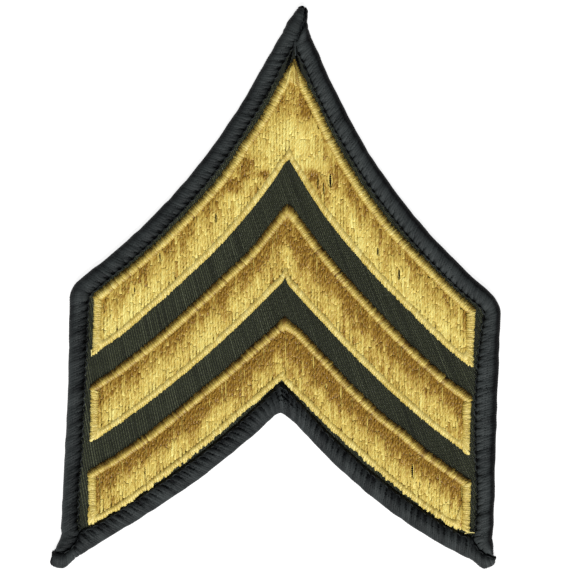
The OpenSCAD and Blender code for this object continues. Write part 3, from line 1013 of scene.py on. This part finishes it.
def edges_of(stripe):
    """The top, end and bottom of a chevron's right leg. Places are lengths along the edging's middle."""
    top, low = stripe

    def end_x(share):
        return FIELD_W - EDGING_END * share

    def arc_edge(a, width, sign):
        """width is the edging's, and sign says which way its radius grows."""
        radius = a[2] + sign * width / 2

        def at(place, share):
            x, y = polar(a, a[2] + sign * width * share, place / radius)
            if sign > 0:
                pull = width * share
                y += arc_y(a, blunt(x, PEAK_R), pull) - arc_y(a, abs(x), pull)
            return np.array([x, y])

        def limits(share):
            pull = sign * width * share
            return tuple(radius * bearing(a, (x, arc_y(a, x, pull))) for x in (0, end_x(share)))

        return Edge(at, limits)

    def end_at(place, share):
        return np.array([end_x(share), place])

    def end_limits(share):
        x = end_x(share)
        return arc_y(top, x, EDGING_TOP * share), arc_y(low, x, -EDGING_LOW * share)

    return arc_edge(top, EDGING_TOP, 1), Edge(end_at, end_limits), arc_edge(low, EDGING_LOW, -1)


# Path of an edging stitch: [share of the width, share of the height]
TOP_ARCH = [
    [-0.14, 0], [-0.06, 0.08], [0.02, 0.26], [0.1, 0.46], [0.22, 0.66], [0.36, 0.84], [0.5, 0.95],
    [0.64, 1], [0.76, 0.985], [0.9, 0.93], [1.03, 0.85], [1.14, 0.76],
]
END_ARCH = [
    [-0.1, 0], [-0.06, 0.18], [-0.01, 0.46], [0.05, 0.68], [0.13, 0.84], [0.25, 0.95], [0.4, 1],
    [0.55, 1], [0.68, 0.96], [0.8, 0.89], [0.93, 0.77], [1.07, 0.6],
]
LOW_ARCH = [
    [-0.14, 0], [-0.06, 0.14], [0.02, 0.36], [0.1, 0.58], [0.2, 0.78], [0.32, 0.91], [0.46, 0.98],
    [0.6, 0.98], [0.75, 0.94], [0.9, 0.88], [1.05, 0.79], [1.22, 0.58],
]
EDGING_TAPER = [0.45, 0.6, 0.78, 0.92, 1, 1, 1, 1, 1, 1, 0.95, 0.85]
EDGING_HALF_H = 0.13
# For an edging's top, end and bottom: its stitches' path, its width, their pitch and half width, how far
# out of place and how skew they are, and how uneven their height
EDGING = (
    (TOP_ARCH, EDGING_TOP, 0.42, 0.37, 0.035, 0.04, 0.006),
    (END_ARCH, EDGING_END, 0.36, 0.29, 0.02, 0.03, 0.015),
    (LOW_ARCH, EDGING_LOW, 0.45, 0.33, 0.035, 0.04, 0.006),
)
EDGING_WAVE_H = 0.05
EDGING_TONE_NOISE = 0.08
# For a chevron's top, ends and bottom, in shares of the width: how far the stitches are moved in, how far
# their tips stray, and where the tips' tone has faded. Then the tone, and its change at the tips and
# inside.
# The change at the tips is painted shade on the outer flank where negative and painted light where
# positive;
# the change inside is painted shade on the inner flank
EDGING_LAY_AND_SHADE = {
    "upper": (
        (-0.04, 0.12, 0.6, 0.54, -0.26, -0.22),
        (0, 0.1, 0.4, 0.52, 0.16, -0.2),
        (0.15, 0.2, 0.6, 0.6, 0, 0),
    ),
    "middle": (
        (-0.01, 0.12, 0.85, 0.49, -0.36, -0.25),
        (0, 0.1, 0.4, 0.53, 0.16, -0.2),
        (0.03, 0.16, 0.6, 0.6, 0, 0),
    ),
    "lower": (
        (0.17, 0.12, 0.85, 0.48, -0.36, -0.25),
        (0, 0.1, 0.4, 0.53, 0.16, -0.2),
        (0.5, 0.55, 0.5, 0.55, 0.15, -0.28),
    ),
}
# How nearly the bottom's stitches stand upright, as a share of the whole turn
BOTTOM_UPRIGHT = 0.8
# Thread ends that have come loose, by their chevron: x and y of both ends
LOOSE = {"lower": (34.2, -42.8, 36.0, -42.65), "upper": (-34.7, -12.0, -34.6, -13.2)}
# Long stitches that run together at the upper chevron's peak: how many, their length, their spread at both
# ends, how far below the peak they start, and how much lower and longer each is than its inner neighbour
RAYS = 7
RAY_LEN = 3.6
RAY_SPREAD = (0.1, 0.46)
RAY_START = 0.45
RAY_DROP, RAY_GROWTH = 0.26, 0.25


def add_rays(threads, peak_y, rng):
    t = np.linspace(0, 1, 10)
    for index in range(RAYS):
        away = index - (RAYS - 1) / 2
        length = RAY_LEN * rng.uniform(0.8, 1.1) + RAY_GROWTH * abs(away)
        x = away * mix(*RAY_SPREAD, t)
        y = peak_y - RAY_START - RAY_DROP * abs(away) - length * t
        z = STITCH_Z + EDGING_H + 0.02 - 0.55 * (1 - smooth(t / 0.25)) - 0.18 * smooth((t - 0.7) / 0.3)
        # Painted shade where the ray dives in at the peak
        tone = rng.uniform(0.15, 1.0) - 0.15 * (1 - smooth(t / 0.2))
        threads.strand(np.stack([x, y, z], 1), ACROSS, 0.14, 0.1, tone, any_phase(rng))


def edging_course(name, stripe, which, edge, place, skew, flip, rng):
    """Points in the plane of an edging stitch."""
    arch, width = EDGING[which][:2]
    share = np.array(arch)[:, 0]
    moved, ragged = EDGING_LAY_AND_SHADE[name][which][:2]
    from_axis = edge.at(place, 0.5)[0]
    fall = (0.0, np.clip((place - edge.start) / (edge.end - edge.start), 0, 1), 1.0)[which]
    end_further = mix(*END_STRAY[name][flip > 0], fall)
    further = end_further if which == 1 else stray(name, which == 2, flip * from_axis)
    rough = ragged * (np.clip(from_axis / 22, 0.3, 1) if which == 2 else 1)
    reach = share + moved + further / width - rough * rng.uniform(-0.3, 1) * np.clip(1 - share, 0, 1) ** 3
    points = edge.stitch(place, reach)
    across = points[-1] - points[0]
    if which == 2:
        skew += BOTTOM_UPRIGHT * across[0] / across[1]
    points += across[::-1] * [-1, 1] * skew * share[:, None]
    points[:, 0] = np.minimum(points[:, 0], FIELD_W - end_further + 0.12) * flip
    if which == 1:
        lowest = stripe_low(stripe, points[:, 0]) + stray(name, 1, flip * from_axis) + 0.1
        points[:, 1] = np.maximum(points[:, 1], lowest)
    return points


def sew_edge(threads, name, stripe, which, edge, flip, lift, rng):
    """The stitches of one stretch of edging, mirrored where flip is -1."""
    arch, _, pitch, half_w, out_of_place, skewness, uneven = EDGING[which]
    _, _, faded, level, change, inner = EDGING_LAY_AND_SHADE[name][which]
    share, rise = np.transpose(arch)
    for place in edge.spread(pitch):
        place += out_of_place * rng.standard_normal()
        skew = skewness * rng.standard_normal()
        points = edging_course(name, stripe, which, edge, place, skew, flip, rng)
        height = rise * (EDGING_H + EDGING_WAVE_H * lift(place / 1.5, which * 7 + flip)) - EDGING_HALF_H
        height = height + uneven * rng.standard_normal()
        line = laid(*points.T, STITCH_Z + np.maximum(height, 0.0))
        side = np.append(right_of(points[-1] - points[0]), 0.0)
        # Painted shade on the inner flank, and painted shade or light at the tips by the sign of their
        # change
        tone = level + EDGING_TONE_NOISE * rng.standard_normal() + inner * smooth((share - 0.7) / 0.4)
        tone = tone + change * np.clip(1 - share / faded, 0, 1) ** 1.3
        threads.strand(line, side, half_w, EDGING_HALF_H, tone, any_phase(rng), EDGING_TAPER)


def make_edging(name, stripe, number):
    rng = np.random.default_rng(SEED + 20 + number)
    lift = lattice_noise(40 + number)
    threads = Threads(sides=6, lobes=0.16, twist=PLY_TWIST)
    for flip in (1, -1):
        for which, edge in enumerate(edges_of(stripe)):
            sew_edge(threads, name, stripe, which, edge, flip, lift, rng)
    if name == "upper":
        add_rays(threads, stripe_top(stripe, 0.0), rng)
    if name in LOOSE:
        x0, y0, x1, y1 = LOOSE[name]
        t = np.linspace(0, 1, 9)
        y = mix(y0, y1, t) + 0.1 * np.sin(3 * t)
        line = np.stack([mix(x0, x1, t), y, STITCH_Z + 0.9 - 0.6 * t], 1)
        threads.strand(line, (0.3, 1.0, 0.0), 0.09, 0.08, 0.9)
    node = f"{name}_chevron_edging"
    return threads.make(f"{node}_stitches", GOLD_SATIN, [node])


# Twill

# How far a rib leans for each millimetre of y, and how much more at the right side
RIB_LEAN, RIB_TURN = -0.38, -0.15
RIB_HALF_W = 0.155
RIB_HALF_H = 0.14
RIB_STEP = 0.28
RIB_SWAY, RIB_WAVE_H = 0.05, 0.03
# How far past the sides the ribs start, from where to where they run, and above what no twill shows
RIB_ROOM = 22
RIB_START, RIB_END, TWILL_TOP = -52.0, 48.0, 38.0
# How far the twill runs on below the gold's edge
TWILL_TUCK = 0.7


def inside(polygon, points):
    """Which points lie inside a closed polygon."""
    x, y = points[:, 0], points[:, 1]
    found = np.zeros(len(points), bool)
    for (ax, ay), (bx, by) in zip(polygon, np.roll(polygon, -1, axis=0)):
        crosses = (ay > y) != (by > y)
        slope = (bx - ax) / (by - ay) if by != ay else 0.0
        found ^= crosses & (x < ax + (y - ay) * slope)
    return found


def chevron_outline(stripe, pull):
    """Outline of a chevron, pulled in by a distance."""
    x = np.linspace(-1, 1, 81) * (FIELD_W - pull)
    top = np.stack([x, stripe_top(stripe, x, pull)], 1)
    low = np.stack([x, stripe_low(stripe, x, pull)], 1)
    return settle(np.concatenate([top, low[::-1]]))


def make_twill(loop):
    rng = np.random.default_rng(SEED + 3)
    sway = lattice_noise(50)
    threads = Threads(sides=5, lobes=0.0, twist=1.0)
    field = loop.at(np.linspace(0, loop.length, 400, endpoint=False))[:, 0]
    gold = [chevron_outline(stripe, TWILL_TUCK) for stripe in CHEVRONS.values()]
    y = np.arange(RIB_START, RIB_END, RIB_STEP)
    for start in np.arange(-HALF_W - RIB_ROOM, HALF_W + RIB_ROOM, RIB_PITCH):
        x = start + (RIB_LEAN + RIB_TURN * start / HALF_W) * y + RIB_SWAY * sway(start / 0.8, y / 3)
        points = np.stack([x, y], 1)
        keep = inside(field, points) & (y < TWILL_TOP)
        for outline in gold:
            keep &= ~inside(outline, points)
        ends = np.flatnonzero(np.diff(np.concatenate([[0], keep.astype(int), [0]])))
        for first, last in ends.reshape(-1, 2):
            if last - first < 3:
                continue
            run = slice(first, last)
            z = FACE_Z + RIB_WAVE_H * np.sin(y[run] / RIB_PITCH * 2 * math.pi + any_phase(rng))
            tone = 0.5 + 0.15 * rng.standard_normal()
            threads.strand(np.stack([x[run], y[run], z], 1), ACROSS, RIB_HALF_W, RIB_HALF_H, tone)
    return threads.make("twill_ribs", RIB)


# Needle line

# The looper's thread between two holes: half its width, how far it bulges in and up, and its tone
LOOPER_HALF = 0.11
LOOPER_BULGE, LOOPER_RISE = 0.36, 0.16
LOOPER_TONE = 0.32
# A hole's painted shadow, a black sheet: half its length and width, and how far out of the needle line it
# lies
HOLE_HALF_LEN, HOLE_HALF_W, HOLE_OUT = 0.36, 0.2, 0.05
# How much higher the bottom's needle line lies, and how far out as a share of its holes' place
LOW_LINE_H, LOW_LINE_IN = 0.28, 0.8
# Two threads bunched over the gold's peak: their x, and the y where they start and end
TIP_BUNCH_X, TIP_BUNCH_Y = (-0.3, 0.28), (42.7, 45.6)
# Painted shadow, black sheets in the hollows beside the gold's peak: x and y at their low and their high
# end, and half their width
HOLLOW_X, HOLLOW_Y, HOLLOW_HALF_W = (1.45, 0.2), (39.4, 43.6), 0.34


def needle_line(band, is_low):
    """How long a band's needle line is, and a function that gives points further in than it."""
    fine = np.linspace(0, band.length, 3000)
    needle, outer = np.moveaxis(band.at(fine), 1, 0)
    along = band.needle_at(fine)
    inward = unit(needle - outer)
    if is_low:
        needle = mix(needle, outer, LOW_HOLE_SHARE * LOW_LINE_IN)

    def at(place, further):
        point, way = (np.stack([np.interp(place, along, row) for row in v.T], 1) for v in (needle, inward))
        return point + way * further[:, None]

    return along[-1], at


def make_needle_line(bands):
    """A black sheet of painted shadow in each needle hole of the border, with the looper's thread round its
    inner side.
    """
    rng = np.random.default_rng(SEED + 4)
    threads = Threads(sides=6, lobes=0.1, twist=1.8)
    hole_shadows = Threads(sides=8, lobes=0.0, twist=1.0)
    t, u = np.linspace(-1, 1, 9), np.linspace(-1, 1, 7)
    bulge = np.cos(math.pi / 2 * t)
    for number, band in enumerate(bands):
        length, at = needle_line(band, number == 1)
        base = FACE_Z + LOW_LINE_H * (number == 1)
        for middle in HOLE_PITCH * np.arange(1, int(length / HOLE_PITCH)):
            reach = LOOPER_BULGE * (1 + 0.12 * rng.standard_normal())
            flat = at(middle + t * HOLE_PITCH * 0.5, reach * bulge - HOLE_OUT)
            line = np.column_stack([flat, base + 0.1 + LOOPER_RISE * bulge])
            side = np.append(right_of(line[-1] - line[0]), 0.0)
            tone = LOOPER_TONE + 0.1 * rng.standard_normal()
            threads.strand(line, side, LOOPER_HALF, LOOPER_HALF, tone, any_phase(rng))
            # The hole's painted shadow
            flat = at(middle + u * HOLE_HALF_LEN, np.full(7, -HOLE_OUT))
            line = np.column_stack([flat, np.full(7, base + 0.06)])
            hole_shadows.strand(line, side, HOLE_HALF_W, 0.05, 0.0, taper=np.sqrt(np.clip(1 - u**2, 0.04, 1)))
    add_tip_bunch(threads)
    threads.make("looper_stitches", CHARCOAL)
    add_hollow_shadows(hole_shadows)
    add_slit_shadows(hole_shadows)
    hole_shadows.make("needle_hole_shadows", HOLE_SHADOW)


def add_tip_bunch(threads):
    t = np.linspace(0, 1, 8)
    for x in TIP_BUNCH_X:
        line = np.stack([x * (1 - t) + 0.1, mix(*TIP_BUNCH_Y, t), FACE_Z + 0.2 + 0.3 * t], 1)
        threads.strand(line, ACROSS, 0.12, 0.12, 0.45 + x, x)


def add_hollow_shadows(hole_shadows):
    t = np.linspace(0, 1, 9)
    for side in (-1, 1):
        line = np.stack([side * mix(*HOLLOW_X, t), mix(*HOLLOW_Y, t), np.full(9, FACE_Z + 0.1)], 1)
        taper = np.sqrt(np.clip(1.02 - (2 * t - 1) ** 2, 0, 1))
        hole_shadows.strand(line, ACROSS, HOLLOW_HALF_W, 0.05, 0.0, taper=taper)


border_loop = Band(border_outline(), closed=True)
border_bands = [Band(run) for run in border_runs()]
make_border(border_loop, border_bands)
sewn_on = [make_twill(border_loop)]
for position, (label, chevron) in enumerate(CHEVRONS.items()):
    sewn_on += [make_fill(label, chevron, position), make_edging(label, chevron, position)]
make_needle_line(border_bands)


# Floor, light and camera

FLOOR_HALF = 3.0
FLOOR_Z = -0.02
# The photograph's frame: pixels to a millimetre, the patch's turn in it, and the point at its middle
FRAME_PIXELS = 576
PIXELS_PER_MM = 5.5
FRAME_TURN = math.radians(2.1)
FRAME_MIDDLE = (0.54, 0.5)
CAMERA_HEIGHT = 1.0


def make_floor():
    mesh = bpy.data.meshes.new("floor")
    around = ((-1, -1), (1, -1), (1, 1), (-1, 1))
    corners = [(x * FLOOR_HALF, y * FLOOR_HALF, FLOOR_Z * MM) for x, y in around]
    mesh.from_pydata(corners, [], [(0, 1, 2, 3)])
    graph = Graph("floor_white")
    graph.colour(graph.noise(Scale=40), [(0.3, 0.3, 0.3), (0.33, 0.33, 0.33)])
    graph.surface(0.9, 0.0)
    graph.feed(graph.shader, {"Emission Color": (1, 1, 1, 1), "Emission Strength": 0.88})
    mesh.materials.append(graph.material)
    put("floor", mesh)


def make_camera():
    data = bpy.data.cameras.new("camera")
    data.sensor_width = 36.0
    data.lens = data.sensor_width * CAMERA_HEIGHT / (FRAME_PIXELS / PIXELS_PER_MM * MM)
    data.clip_start, data.clip_end = 0.05, 20.0
    camera = put("camera", data)
    camera.location = (FRAME_MIDDLE[0] * MM, FRAME_MIDDLE[1] * MM, CAMERA_HEIGHT)
    camera.rotation_euler = (0, 0, FRAME_TURN)
    bpy.context.scene.camera = camera


def make_light():
    data = bpy.data.lights.new("key", "SUN")
    data.energy, data.angle, data.color = 4.0, math.radians(35), (1.0, 0.985, 0.96)
    put("key", data).rotation_euler = (math.radians(46), 0, math.radians(2))
    world = bpy.data.worlds.new("studio")
    world.use_nodes = True
    inputs = world.node_tree.nodes["Background"].inputs
    inputs["Color"].default_value = (1.0, 1.0, 1.0, 1)
    inputs["Strength"].default_value = 0.2
    bpy.context.scene.world = world
    bpy.context.scene.view_settings.view_transform = "Standard"


make_floor()
make_camera()
make_light()
